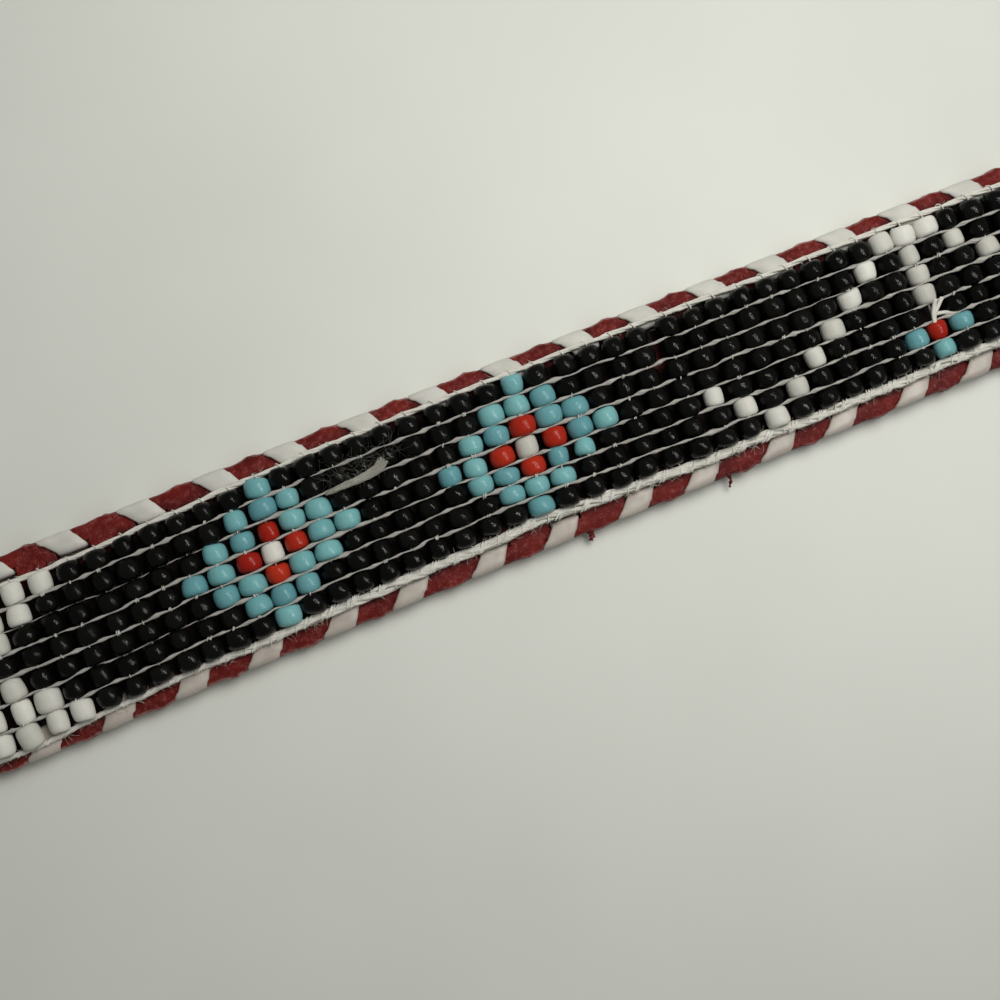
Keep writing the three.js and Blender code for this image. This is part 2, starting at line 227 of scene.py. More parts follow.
class Shading:
    """The nodes of one material, with a short way to add each kind that the belt needs."""

    def __init__(self, name):
        self.material = bpy.data.materials.new(name)
        self.material.use_nodes = True
        self.tree = self.material.node_tree
        self.tree.nodes.clear()
        output = self.tree.nodes.new("ShaderNodeOutputMaterial")
        self.shader = self.tree.nodes.new("ShaderNodeBsdfPrincipled")
        self.tree.links.new(self.shader.outputs["BSDF"], output.inputs["Surface"])
        self.place = self.add("ShaderNodeTexCoord").outputs["Object"]

    def feed(self, node, inputs):
        """Links each named or numbered input to a socket, or gives it a value of its own."""
        for name, value in inputs.items():
            socket = node.inputs[name]
            if isinstance(value, bpy.types.NodeSocket):
                self.tree.links.new(value, socket)
            else:
                socket.default_value = (*value, 1.0) if socket.type == "RGBA" else value

    def add(self, kind, inputs=None, **settings):
        node = self.tree.nodes.new(kind)
        for name, value in settings.items():
            setattr(node, name, value)
        self.feed(node, inputs or {})
        return node

    def noise(self, scale, detail=3.0, roughness=0.55, place=None):
        inputs = {"Scale": scale, "Detail": detail, "Roughness": roughness}
        inputs["Vector"] = self.place if place is None else place
        return self.add("ShaderNodeTexNoise", inputs).outputs["Fac"]

    def ranged(self, factor, low, high, start=0.0, end=1.0):
        """A factor that runs from start to end, as a value from low to high."""
        limits = {"Value": factor, "From Min": start, "From Max": end, "To Min": low, "To Max": high}
        return self.add("ShaderNodeMapRange", limits).outputs["Result"]

    def combine(self, operation, *values):
        """Two or three values in one sum or product."""
        return self.add("ShaderNodeMath", dict(enumerate(values)), operation=operation).outputs["Value"]

    def mix(self, factor, first, second):
        return self.add("ShaderNodeMix", {0: factor, 6: first, 7: second}, data_type="RGBA").outputs[2]

    def ramp(self, factor, *stops):
        node = self.add("ShaderNodeValToRGB", {"Fac": factor})
        elements = node.color_ramp.elements
        while len(elements) < len(stops):
            elements.new(0.5)
        for element, (place, color) in zip(elements, stops):
            element.position = place
            element.color = (*color, 1.0)
        return node.outputs["Color"]

    def bump(self, height, strength, distance, under=None):
        inputs = {"Height": height, "Strength": strength, "Distance": distance}
        if under is not None:
            inputs["Normal"] = under
        return self.add("ShaderNodeBump", inputs).outputs["Normal"]

    def mapped(self, place, **inputs):
        """A place that has been turned or stretched."""
        return self.add("ShaderNodeMapping", {"Vector": place, **inputs}).outputs["Vector"]

    def unwrapped(self):
        return self.add("ShaderNodeUVMap").outputs["UV"]

    def attribute(self, name):
        return self.add("ShaderNodeAttribute", attribute_name=name).outputs["Fac"]

    def finish(self, inputs):
        self.feed(self.shader, inputs)
        return self.material


def bead_material(name, dark, light, roughness, dent, waxy, glint):
    """Glossy opaque glass whose tone changes from bead to bead."""
    glass = Shading(name)
    shade = glass.ranged(glass.attribute("bead_shade"), -0.15, 0.85)
    tone = glass.combine("MULTIPLY_ADD", glass.noise(900.0, 4.0), 0.3, shade)
    return glass.finish({
        "Base Color": glass.ramp(tone, (0.0, dark), (1.0, light)),
        "Roughness": glass.ranged(glass.noise(2600.0), roughness * 0.7, roughness * 1.4),
        "Normal": glass.bump(glass.noise(2200.0), dent, 0.15 * MM),
        "Specular IOR Level": glint,
        "Subsurface Weight": waxy,
        "Subsurface Scale": 0.4 * MM,
    })


def thread_material(name, twist, light, dark):
    """Cotton thread: fibres that run along its length with a slight twist, and loose fluff."""
    cotton = Shading(name)
    wound = cotton.mapped(cotton.unwrapped(), Rotation=(0.0, 0.0, math.radians(twist)))
    strands = cotton.noise(1.0, place=cotton.mapped(wound, Scale=(700.0, 9000.0, 1.0)))
    fluff = cotton.noise(5000.0, 4.0)
    patch = cotton.noise(260.0, 2.0)
    plies = cotton.mix(cotton.ranged(strands, 0.0, 1.0, 0.35, 0.62), dark, light)
    worn = cotton.mix(cotton.ranged(patch, 0.0, 0.4, 0.35, 0.7), plies, dark)
    return cotton.finish({
        "Base Color": cotton.mix(cotton.ranged(fluff, 0.0, 0.4), worn, light),
        "Normal": cotton.bump(cotton.combine("ADD", strands, fluff), 0.6, 0.08 * MM),
        "Roughness": 0.9,
        "Sheen Weight": 0.3,
    })


def leather_material():
    """Oxblood leather: scuffed lighter, pinkish at its cut edge, with painted shade that makes it nearly
    black under the beads.
    """
    hide = Shading("oxblood_leather")
    base = hide.ramp(
        hide.noise(260.0, 4.0),
        (0.3, (0.062, 0.0035, 0.0035)),
        (0.52, (0.122, 0.007, 0.0055)),
        (0.75, (0.19, 0.015, 0.009)),
    )
    swirl = hide.add("ShaderNodeTexNoise", {"Vector": hide.place, "Scale": 1500.0}).outputs["Color"]
    pushed = {0: swirl, 1: (0.9 * MM, 0.9 * MM, 0.9 * MM), 2: hide.place}
    bent = hide.add("ShaderNodeVectorMath", pushed, operation="MULTIPLY_ADD")
    cells = {"Vector": bent.outputs["Vector"], "Scale": 3600.0}
    cracks = hide.add("ShaderNodeTexVoronoi", cells, feature="DISTANCE_TO_EDGE").outputs["Distance"]
    scuffs = hide.noise(1250.0, 6.0, 0.75)
    crack_share = hide.ranged(cracks, 0.8, 0.0, 0.0, 0.2)
    scuff_share = hide.ranged(scuffs, 0.0, 0.95, 0.46, 0.64)
    worn_share = hide.combine("MULTIPLY", crack_share, scuff_share)
    worn = hide.mix(worn_share, base, (0.36, 0.10, 0.09))
    fibre_share = hide.ranged(scuffs, 0.15, 0.95, 0.4, 0.6)
    cut_share = hide.combine("MULTIPLY", hide.attribute("cut_edge"), fibre_share)
    edged = hide.mix(cut_share, worn, (0.55, 0.32, 0.29))
    creases = hide.bump(cracks, 0.45, 0.15 * MM)
    return hide.finish({
        # Painted shade: the leather turns nearly black where the beads and edge cords cover it, standing in
        # for the shade between the beads.
        "Base Color": hide.mix(hide.attribute("painted_shade_under_beads"), edged, (0.010, 0.004, 0.004)),
        "Normal": hide.bump(hide.noise(2600.0), 0.4, 0.08 * MM, creases),
        "Roughness": hide.ranged(scuffs, 0.5, 0.75),
        "Specular IOR Level": 0.15,
    })


def lace_material(name, dark, light, glint):
    """White plastic lace: smooth and glossy, drawn lengthwise, a little grey with handling."""
    plastic = Shading(name)
    drawn = plastic.noise(1.0, place=plastic.mapped(plastic.unwrapped(), Scale=(40.0, 5000.0, 1.0)))
    return plastic.finish({
        "Base Color": plastic.ramp(plastic.noise(300.0, 4.0), (0.35, dark), (0.65, light)),
        "Roughness": plastic.ranged(drawn, 0.34, 0.5),
        "Specular IOR Level": glint,
        "Normal": plastic.bump(drawn, 0.12, 0.1 * MM),
        "Subsurface Weight": 0.12,
        "Subsurface Scale": 0.6 * MM,
    })


def metal_material():
    """Satin nickel plate with fine scratches and duller patches."""
    metal = Shading("nickel_plate")
    scratches = metal.noise(1.0, 2.0, place=metal.mapped(metal.place, Scale=(300.0, 6000.0, 6000.0)))
    dull = metal.noise(240.0, 4.0)
    return metal.finish({
        "Base Color": metal.ramp(dull, (0.3, (0.56, 0.54, 0.495)), (0.7, (0.66, 0.64, 0.60))),
        "Roughness": metal.ranged(dull, 0.26, 0.38),
        "Normal": metal.bump(scratches, 0.08, 0.05 * MM),
        "Metallic": 1.0,
    })


def floor_material():
    """Plain pale surface."""
    surface = Shading("pale_surface")
    return surface.finish({
        "Base Color": surface.ramp(surface.noise(25.0), (0.3, (0.70, 0.71, 0.66)), (0.7, (0.74, 0.75, 0.70))),
        "Roughness": 0.55,
    })


def make_mesh(name, points, faces, material, unwrapped=None, smooth=True):
    """Mesh object from an array of points and a list of face arrays, each with its own corner count.

    Unwrapped holds a place for each corner of the first faces. The corners after them lie at nought.
    """
    mesh = bpy.data.meshes.new(name)
    points = np.asarray(points, dtype=np.float64).reshape(-1, 3)
    corners = np.concatenate([block.ravel() for block in faces])
    counts = np.concatenate([np.full(len(block), block.shape[1]) for block in faces])
    mesh.vertices.add(len(points))
    mesh.vertices.foreach_set("co", points.ravel())
    mesh.loops.add(len(corners))
    mesh.loops.foreach_set("vertex_index", corners)
    mesh.polygons.add(len(counts))
    mesh.polygons.foreach_set("loop_start", np.concatenate([[0], np.cumsum(counts)[:-1]]))
    if unwrapped is not None:
        places = np.zeros(2 * len(corners))
        places[:len(unwrapped)] = unwrapped
        mesh.uv_layers.new(name="unwrapped").data.foreach_set("uv", places)
    mesh.update(calc_edges=True)
    mesh.validate()
    mesh.polygons.foreach_set("use_smooth", np.full(len(mesh.polygons), smooth))
    mesh.materials.append(material)
    piece = bpy.data.objects.new(name, mesh)
    bpy.context.scene.collection.objects.link(piece)
    return piece


def tube_faces(rings, around, first=0):
    """Side quads and the two end faces of a tube whose points run ring by ring."""
    ring = np.arange(rings - 1)[:, None] * around
    spot = np.arange(around)[None, :]
    after = (spot + 1) % around
    sides = np.stack([ring + spot, ring + after, ring + around + after, ring + around + spot], axis=-1)
    start = np.arange(around)[::-1][None, :]
    end = (rings - 1) * around + np.arange(around)[None, :]
    return sides.reshape(-1, 4) + first, start + first, end + first


def closed_tube_faces(rings, around):
    """Side quads of a tube that runs back into itself and so has no ends."""
    ring = np.arange(rings)[:, None] * around
    after_ring = (np.arange(rings)[:, None] + 1) % rings * around
    spot = np.arange(around)[None, :]
    after = (spot + 1) % around
    corners = [ring + spot, ring + after, after_ring + after, after_ring + spot]
    return np.stack(corners, axis=-1).reshape(-1, 4)


def circle_angles(around):
    """Even turns of a full circle."""
    return np.arange(around) / around * 2 * math.pi


def lengths_along(path):
    """How far along a path each of its points lies."""
    steps = np.linalg.norm(np.diff(path, axis=0), axis=1)
    return np.concatenate([[0.0], np.cumsum(steps)])


def unit(directions):
    """Directions with their lengths made one."""
    return directions / np.linalg.norm(directions, axis=1, keepdims=True)


def tube_unwrapping(along, around, width):
    """Unwrapped places for the side quads of tube_faces, in metres along and round the tube."""
    rings = len(along)
    turn = np.arange(around + 1) / around * width
    low_u = np.repeat(along[:-1, None], around, axis=1)
    high_u = np.repeat(along[1:, None], around, axis=1)
    low_v = np.repeat(turn[None, :-1], rings - 1, axis=0)
    high_v = np.repeat(turn[None, 1:], rings - 1, axis=0)
    return np.stack([low_u, low_v, low_u, high_v, high_u, high_v, high_u, low_v], axis=-1).ravel()


def path_frames(path):
    """Two directions across a path at each of its points, which hardly twist along it."""
    forward = unit(np.gradient(path, axis=0))
    up = np.zeros_like(path)
    up[:, 2] = 1.0
    steep = np.abs(forward[:, 2]) > 0.9
    up[steep] = (1.0, 0.0, 0.0)
    side = unit(np.cross(forward, up))
    return side, np.cross(side, forward)


def tube_points(path, radius, around, flatten=1.0):
    """Rings of a round or flattened thread along a path; radius is one value or one for each point."""
    side, up = path_frames(path)
    angle = circle_angles(around)
    radius = np.broadcast_to(radius, (len(path),))[:, None, None]
    across = np.cos(angle)[None, :, None] * side[:, None, :]
    upward = np.sin(angle)[None, :, None] * up[:, None, :] * flatten
    return path[:, None, :] + radius * (across + upward)


def join_tubes(name, tubes, material, around, flatten=1.0):
    """One mesh object from many tubes, given as (path, radius) pairs."""
    points, sides, starts, ends, places = [], [], [], [], []
    first = 0
    for path, radius in tubes:
        side, start, end = tube_faces(len(path), around, first)
        width = 2 * math.pi * float(np.mean(radius))
        points.append(tube_points(path, radius, around, flatten).reshape(-1, 3))
        sides.append(side)
        starts.append(start)
        ends.append(end)
        places.append(tube_unwrapping(lengths_along(path), around, width))
        first += len(path) * around
    faces = [np.concatenate(sides), np.concatenate(starts + ends)]
    return make_mesh(name, np.concatenate(points), faces, material, np.concatenate(places))


def column_x(column):
    """Place along the belt of a column, counted from the middle motif."""
    return BAND_LOW.x + (MIDDLE_COLUMN + column + 0.5) * COLUMN_PITCH


def column_from_middle(x):
    """Column of the strip at a place along the belt, counted from the middle motif."""
    return (x - BAND_LOW.x) / COLUMN_PITCH - 0.5 - MIDDLE_COLUMN


def table_value(table, place):
    """Value between the entries of a table of (place, value) pairs."""
    places, values = np.array(table).T
    return np.interp(place, places, values)


def weave_lean(x):
    """Lean of the bead columns at a place along the belt, as its slope."""
    return np.tan(np.radians(table_value(COLUMN_LEAN, column_from_middle(x))))


def weave_shift(x):
    """How far the strip of beads has wandered across the strap at a place along the belt."""
    return table_value(STRIP_WANDER, column_from_middle(x)) * MM


def lower_squeeze(x, y):
    """How closely the rows lie at a place over the strip: even above the middle row, uneven below it."""
    return np.where(y < 0, table_value(LOWER_SQUEEZE, column_from_middle(x)), 1.0)


def bead_letters():
    """Chart of the whole strip: one letter for each row and column."""
    chart = np.full((ROWS, COLUMNS), "k")
    for motif, distance in MOTIFS:
        half = len(motif[0]) // 2
        for middle in {MIDDLE_COLUMN - distance, MIDDLE_COLUMN + distance}:
            for row, letters in enumerate(motif):
                for step, letter in enumerate(letters):
                    column = middle - half + step
                    if 0 <= column < COLUMNS and letter != "k":
                        chart[row, column] = letter
    chart[MISSING_ROW - 1, MIDDLE_COLUMN] = " "
    return chart


def lay_out_beads():
    """Place and size of every bead: arrays with a row of the strip on each line."""
    shape = (ROWS, COLUMNS)
    chart = bead_letters()
    narrower = BLACK_NARROWER * (chart == "k") + WHITE_NARROWER * (chart == "w")
    widths = random_source.normal(BEAD_WIDTH, BEAD_WIDTH_SPREAD, shape) - narrower
    widths = np.clip(widths, *BEAD_WIDTH_LIMITS)
    lengths = np.clip(random_source.normal(BEAD_LENGTH, BEAD_LENGTH_SPREAD, shape), *BEAD_LENGTH_LIMITS)
    columns = np.arange(COLUMNS) - MIDDLE_COLUMN
    x = BAND_LOW.x + (np.arange(COLUMNS) + 0.5) * COLUMN_PITCH + table_value(COLUMN_CREEP, columns) * MM
    x = np.repeat(x[None, :], ROWS, axis=0)
    across = (ROWS - 1) / 2 * ROW_PITCH - np.arange(ROWS)[:, None] * ROW_PITCH
    slack = SLACK_WIDTH / 2 * (np.arange(1, ROWS + 1)[:, None] <= SLACK_ROWS)
    steps = columns[None, :] - SLACK_COLUMN + 0.5
    fade = np.exp(-np.abs(steps) / 3.0)
    x = x + weave_lean(x) * across + slack * np.sign(steps) * fade
    x[0] -= PINCH * np.sign(columns) * np.exp(-np.abs(np.abs(columns) - 1) / 1.5)
    x = x + random_source.normal(0.0, 0.11 * MM, shape)
    for _ in range(BEAD_PUSHES):
        gap = np.diff(x, axis=1)
        need = (widths[:, 1:] + widths[:, :-1]) / 2 + BEAD_GAP
        push = np.clip(need - gap, 0.0, None) / 2
        x[:, 1:] += push
        x[:, :-1] -= push
    x = np.clip(x, BAND_LOW.x + widths / 2, BAND_HIGH.x - widths / 2)
    squeeze = lower_squeeze(x, across)
    y = across * squeeze + weave_shift(x) + random_source.normal(0.0, 0.06 * MM, shape)
    z = WEAVE_HEIGHT + random_source.normal(0.0, 0.07 * MM, shape)
    z = np.maximum(z, STRAP_TOP + widths / 2 + BEAD_GAP)
    return {"x": x, "y": y, "z": z, "width": widths, "length": lengths * squeeze}


def bead_profile(flat_share, end_width):
    """A bead's outline from bore to bore: share of half its length, share of half its width."""
    outline = [(0.0, 1.0)]
    for turn in np.radians((0, 32, 62, 90)):
        outline.append((
            flat_share + (1 - flat_share) * math.sin(turn),
            end_width + (0.98 - end_width) * math.cos(turn),
        ))
    outline.append((0.96, BEAD_BORE + 0.12))
    outline.append((0.85, BEAD_BORE))
    lower = [(-share, width) for share, width in reversed(outline[1:])]
    return np.array(lower + outline)


def bead_batch(name, picked, beads, material, outline, around=14):
    """One mesh of all the picked beads, each turned and dented a little by itself."""
    profile = bead_profile(*outline)
    rings = len(profile)
    count = len(picked)
    bead = {key: values[picked[:, 0], picked[:, 1]][:, None, None] for key, values in beads.items()}
    angle = circle_angles(around)[None, None, :]
    turns = random_source.uniform(0.0, 2 * math.pi, (count, 1, 2))
    dents = random_source.normal(0.0, 1.0, (count, 1, 2))
    lumps = 1 + 0.018 * dents[..., :1] * np.cos(2 * angle + turns[..., :1])
    lumps = lumps + 0.012 * dents[..., 1:] * np.cos(3 * angle + turns[..., 1:])
    lengthwise = profile[None, :, 0, None] * np.ones((1, 1, around))
    uneven = 1 + random_source.normal(0.0, 0.05, (count, 1, 1)) * lengthwise
    reach = profile[None, :, 1, None] * (bead["width"] / 2) * lumps * uneven
    local_x = reach * np.cos(angle)
    local_z = reach * np.sin(angle)
    skew = random_source.normal(0.0, 0.06, (count, 1, 1))
    local_y = lengthwise * (bead["length"] / 2) + skew * local_x * np.abs(lengthwise)
    turn = random_source.normal(0.0, math.radians(3.5), (count, 1, 1)) - weave_lean(bead["x"]) * 0.5
    tip = random_source.normal(0.0, math.radians(4.0), (count, 1, 1))
    turned_z = local_z * np.cos(tip) + local_y * np.sin(tip)
    tipped_y = local_y * np.cos(tip) - local_z * np.sin(tip)
    turned_x = local_x * np.cos(turn) - tipped_y * np.sin(turn)
    turned_y = local_x * np.sin(turn) + tipped_y * np.cos(turn)
    points = np.stack([turned_x + bead["x"], turned_y + bead["y"], turned_z + bead["z"]], axis=-1)
    first = (np.arange(count) * rings * around)[:, None, None]
    faces = closed_tube_faces(rings, around)[None, :, ::-1] + first
    piece = make_mesh(name, points, [faces.reshape(-1, 4)], material)
    tones = random_source.uniform(0.0, 1.0, count)
    add_values(piece, "bead_shade", np.repeat(tones, rings * around))
    return piece


def add_values(piece, name, values):
    """One named number for each point of a mesh, for its material to read."""
    piece.data.attributes.new(name, "FLOAT", "POINT").data.foreach_set("value", values)


def bead_pieces(beads):
    """Every bead of the strip, one mesh for each colour, and the many black ones in two halves."""
    chart = bead_letters()
    white = bead_material("white_glass", (0.54, 0.53, 0.475), (0.77, 0.76, 0.70), 0.34, 0.3, 0.08, 0.1)
    turquoise = bead_material(
        "turquoise_glass", (0.12, 0.315, 0.355), (0.20, 0.46, 0.47), 0.2, 0.4, 0.05, 0.18
    )
    orange_red = bead_material(
        "orange_red_glass", (0.31, 0.012, 0.007), (0.52, 0.038, 0.014), 0.22, 0.4, 0.03, 0.16
    )
    black = bead_material(
        "black_glass", (0.0018, 0.0018, 0.0016), (0.0048, 0.0046, 0.0040), 0.15, 0.5, 0.0, 0.15
    )
    # Each outline: the share of a bead's length that is straight, and the width of its ends
    boxy, rounded, round_ended = (0.46, 0.6), (0.36, 0.5), (0.2, 0.42)
    buckle_half = np.arange(COLUMNS)[None, :] < MIDDLE_COLUMN
    batches = (
        ("beads_white", chart == "w", white, boxy),
        ("beads_turquoise", chart == "t", turquoise, rounded),
        ("beads_orange_red", chart == "r", orange_red, rounded),
        ("beads_black_buckle_half", (chart == "k") & buckle_half, black, round_ended),
        ("beads_black_tip_half", (chart == "k") & ~buckle_half, black, round_ended),
    )
    pieces = []
    for name, chosen, glass, outline in batches:
        pieces.append(bead_batch(name, np.argwhere(chosen), beads, glass, outline))
    return pieces


def smooth_noise(x, size, spread):
    """Slow unevenness along the belt: a smooth random line with about one bend for each size."""
    knots = np.arange(BAND_LOW.x - size, BAND_HIGH.x + 2 * size, size)
    values = random_source.normal(0.0, spread, len(knots))
    place = (x - knots[0]) / size
    index = np.clip(place.astype(int), 0, len(knots) - 2)
    share = (1 - np.cos(np.pi * (place - index))) / 2
    return values[index] * (1 - share) + values[index + 1] * share


def warp_ribbon(warp, beads):
    """A warp in the groove between two rows: its path, and its width, squeezed between the beads' ends."""
    steps = 8
    x = np.linspace(BAND_LOW.x + 0.4 * MM, BAND_HIGH.x - 0.4 * MM, COLUMNS * steps)
    bead_ends, nearness = [], []
    for row, side in ((warp - 1, -1), (warp, 1)):
        bead_x = beads["x"][row]
        bead_ends.append(np.interp(x, bead_x, beads["y"][row] + side * beads["length"][row] / 2))
        nearness.append(np.abs(x[:, None] - bead_x[None, :]).min(axis=1) / (COLUMN_PITCH / 2))
    middle = bead_ends[0] / 2 + bead_ends[1] / 2
    room = bead_ends[0] - bead_ends[1]
    middle = middle + 0.11 * MM * (np.clip(nearness[0], 0, 1) ** 2 - np.clip(nearness[1], 0, 1) ** 2)
    middle = middle + smooth_noise(x, 1.9 * MM, 0.07 * MM)
    open_share = np.clip((nearness[0] + nearness[1]) / 2, 0.0, 1.0) ** 2.2
    top = np.interp(x, beads["x"][warp], beads["z"][warp] + beads["width"][warp] * 0.27)
    height = top + 0.06 * MM * (1 - open_share) + smooth_noise(x, 3 * MM, 0.1 * MM)
    columns = column_from_middle(x)
    drawn = 1.0
    for sunk, start, end, depth in SUNK_WARPS:
        if sunk == warp:
            inside = 1 / (1 + np.exp(-(columns - start) * 3)) / (1 + np.exp((columns - end) * 3))
            height = height - depth * inside
            drawn = drawn * (1 - 0.75 * inside)
    width = 0.12 * MM + np.clip(room, 0.0, 0.3 * MM) * 0.5 + WARP_WIDTH * 0.6 * open_share
    width = width * drawn * (1 + smooth_noise(x, 1.7 * MM, 0.2) + smooth_noise(x, 0.8 * MM, 0.17))
    return np.stack([x, middle, height], axis=-1), np.clip(width, 0.14 * MM, 0.85 * MM) / 2


def warp_threads(beads):
    """The flat warps in the grooves between the rows."""
    cotton = thread_material("warp_cotton", 6.0, (0.53, 0.51, 0.47), (0.20, 0.19, 0.17))
    tubes = []
    for warp in range(1, ROWS):
        tubes.append(warp_ribbon(warp, beads))
    return join_tubes("warp_threads", tubes, cotton, 6, flatten=0.55)


def warp_knots(beads):
    """Small humps where a weft crosses over a warp between two beads."""
    # Each point of a hump: share of its lean, share of its reach, height in millimetres
    hump = ((-1, -1, -0.25), (-0.5, -0.55, 0.02), (0, 0, 0.1), (0.5, 0.55, 0.02), (1, 1, -0.25))
    knotted_share = 0.45
    tubes = []
    for warp in range(1, ROWS):
        path, _ = warp_ribbon(warp, beads)
        for column in np.flatnonzero(random_source.uniform(size=COLUMNS) < knotted_share):
            x = (beads["x"][warp - 1][column] + beads["x"][warp][column]) / 2
            y = np.interp(x, path[:, 0], path[:, 1])
            z = np.interp(x, path[:, 0], path[:, 2]) + 0.16 * MM
            for strand in range(random_source.integers(1, 4)):
                start = x + (strand - 0.7) * 0.17 * MM + random_source.normal(0.0, 0.04 * MM)
                lean = random_source.normal(0.06, 0.08) * MM
                reach = random_source.uniform(0.22, 0.34) * MM
                points = [(start + lean * a, y + reach * b, z + rise * MM) for a, b, rise in hump]
                tubes.append((np.array(points), 0.075 * MM))
    cotton = thread_material("knot_cotton", 10.0, (0.74, 0.71, 0.66), (0.48, 0.46, 0.42))
    return join_tubes("warp_knots", tubes, cotton, 4)


def cord_width(side, x):
    """Width of an edge cord at a place along the belt."""
    return table_value(CORD_WIDTH[side], column_from_middle(x)) * MM


def cord_line(side, x):
    """Middle of an edge cord and its height, as it wanders along the belt."""
    width = cord_width(side, x)
    last_row = (ROWS - 1) / 2 * ROW_PITCH * (lower_squeeze(x, side) - 1)
    place = table_value(CORD_PLACE[side], column_from_middle(x)) * MM + last_row + width / 2
    slow = 0.12 * width * np.sin(x / (3.1 * MM) + 1.0) * np.sin(x / (11 * MM)) if side < 0 else 0.0
    return side * (place + slow) + weave_shift(x), CORD_HEIGHT + width / 2


def edge_cord(name, side, plies, ply_width, lay_length, material):
    """The thick outer warp: soft plies that wander round each other and swell where the weft wraps them."""
    steps = 6
    x = np.linspace(BAND_LOW.x + 0.5 * MM, BAND_HIGH.x - 0.5 * MM, COLUMNS * steps)
    width = cord_width(side, x)
    middle, height = cord_line(side, x)
    middle = middle + smooth_noise(x, 4 * MM, 0.06 * MM)
    knot = np.abs((x - BAND_LOW.x) / COLUMN_PITCH % 1 - 0.5) * 2
    swell = 1 + 0.12 * (1 - knot) ** 3
    tubes = []
    for ply in range(plies):
        turn = 2 * math.pi * (x / lay_length + ply / plies) + smooth_noise(x, 5 * MM, 0.7)
        reach = (width - ply_width).clip(0.1 * MM) / 2 * (0.95 + smooth_noise(x, 2.6 * MM, 0.16)) * swell
        path = np.stack([x, middle + reach * np.cos(turn), height + reach * np.sin(turn)], axis=-1)
        tubes.append((path, ply_width / 2 * (1 + smooth_noise(x, 1.5 * MM, 0.16)) * swell))
    return join_tubes(name, tubes, material, 5)


def weft_threads(beads, material):
    """For each column, the weft that runs through its beads and turns round both edge cords."""
    tubes = []
    for column in range(COLUMNS):
        row_x = beads["x"][:, column]
        row_y = beads["y"][:, column]
        row_z = beads["z"][:, column]
        points = []
        for side, row in ((1, 0), (-1, ROWS - 1)):
            middle, height = cord_line(side, row_x[row])
            reach = cord_width(side, row_x[row]) / 2 * 0.86 + WEFT_THREAD / 2
            for angle in (-150, -100, -50, 0, 50, 100, 150):
                turn = math.radians(angle * side)
                points.append((
                    row_x[row] + side * angle / 150 * 0.5 * MM,
                    middle + side * reach * math.cos(turn),
                    height + reach * math.sin(turn),
                ))
            order = slice(None) if side > 0 else slice(None, None, -1)
            for x, y, z in zip(row_x[order], row_y[order], row_z[order]):
                points.append((x, y, z + side * 0.14 * MM))
        tubes.append((np.array(points), WEFT_THREAD / 2))
    return join_tubes("weft_threads", tubes, material, 5)


def cord_knots(beads, material):
    """Lumps of thread on the lower cord, where each weft turns round it and back into its column."""
    tubes = []
    for column in range(COLUMNS):
        x = beads["x"][ROWS - 1, column] - 0.5 * COLUMN_PITCH + random_source.normal(0.0, 0.15 * MM)
        for strand in range(random_source.integers(3, 6)):
            start = x + (strand - 1.8) * 0.2 * MM
            middle, height = cord_line(-1, start)
            reach = cord_width(-1, start) / 2 * random_source.uniform(1.0, 1.12)
            slant = random_source.uniform(0.35, 0.75) * MM
            points = []
            for angle in np.radians((-5, 30, 65, 100, 135, 170)):
                points.append((
                    start - slant * math.cos(angle),
                    middle - reach * math.cos(angle),
                    height + reach * math.sin(angle),
                ))
            tubes.append((np.array(points), random_source.uniform(0.08, 0.12) * MM))
    return join_tubes("lower_cord_knots", tubes, material, 4)


def fibres(name, roots, directions, lengths, material, width=HAIR_WIDTH, steps=5):
    """Fine loose hairs that curl away from where they are rooted."""
    tubes = []
    for root, direction, length in zip(roots, directions, lengths):
        curl = random_source.normal(0.0, 0.45, 3)
        share = np.linspace(0.0, 1.0, steps)[:, None]
        bend = np.cross(direction, curl)
        path = root + length * (share * direction + share ** 2 * bend * 0.8)
        path[:, 2] = np.maximum(path[:, 2], root[2] - 0.4 * MM)
        tubes.append((path, width / 2 * np.linspace(1.0, 0.5, steps)))
    return join_tubes(name, tubes, material, 3)


def cord_fluff(material):
    """Loose fibres of the worn edge cords, more of them along the lower edge."""
    roots, directions, lengths = [], [], []
    for side, count, longest in ((1, 450, 0.7 * MM), (-1, 2600, 1.2 * MM)):
        x = random_source.uniform(BAND_LOW.x + MM, BAND_HIGH.x - MM, count)
        width = cord_width(side, x)
        turn = random_source.uniform(-0.3 * math.pi, 0.95 * math.pi, count)
        out, up = np.cos(turn) * side, np.sin(turn)
        middle, height = cord_line(side, x)
        roots.append(np.stack([x, middle + out * width * 0.48, height + width * 0.5 * up], axis=-1))
        along = random_source.normal(0.0, 3.0, count)
        directions.append(unit(np.stack([along, out, np.abs(up) * 0.35], axis=-1)))
        lengths.append(random_source.uniform(0.25 * MM, longest, count))
    hairs = (np.concatenate(roots), np.concatenate(directions), np.concatenate(lengths))
    return fibres("edge_cord_fluff", *hairs, material, 0.04 * MM, 4)


def bend_curve(points, steps):
    """Smooth path through a few chosen points."""
    points = np.array(points)
    padded = np.concatenate([2 * points[:1] - points[1:2], points, 2 * points[-1:] - points[-2:-1]])
    path = []
    for index in range(len(points) - 1):
        a, b, c, d = padded[index:index + 4]
        for share in np.linspace(0.0, 1.0, steps, endpoint=False):
            path.append(0.5 * (
                2 * b + (c - a) * share
                + (2 * a - 5 * b + 4 * c - d) * share ** 2
                + (3 * b - a - 3 * c + d) * share ** 3
            ))
    path.append(points[-1])
    return np.array(path)


def column_place(column, row):
    """Place over the strip, given in columns from the middle motif and in rows from the upper edge."""
    x = column_x(column)
    y = ((ROWS + 1) / 2 - row) * ROW_PITCH
    return x + weave_lean(x) * y, y * lower_squeeze(x, y) + weave_shift(x)


def laid_path(places, height, steps):
    """Smooth path over the strip through places given as column, row and millimetres over a height."""
    points = []
    for column, row, lift in places:
        x, y = column_place(column, row)
        points.append((x, y, height + lift * MM))
    return bend_curve(points, steps)


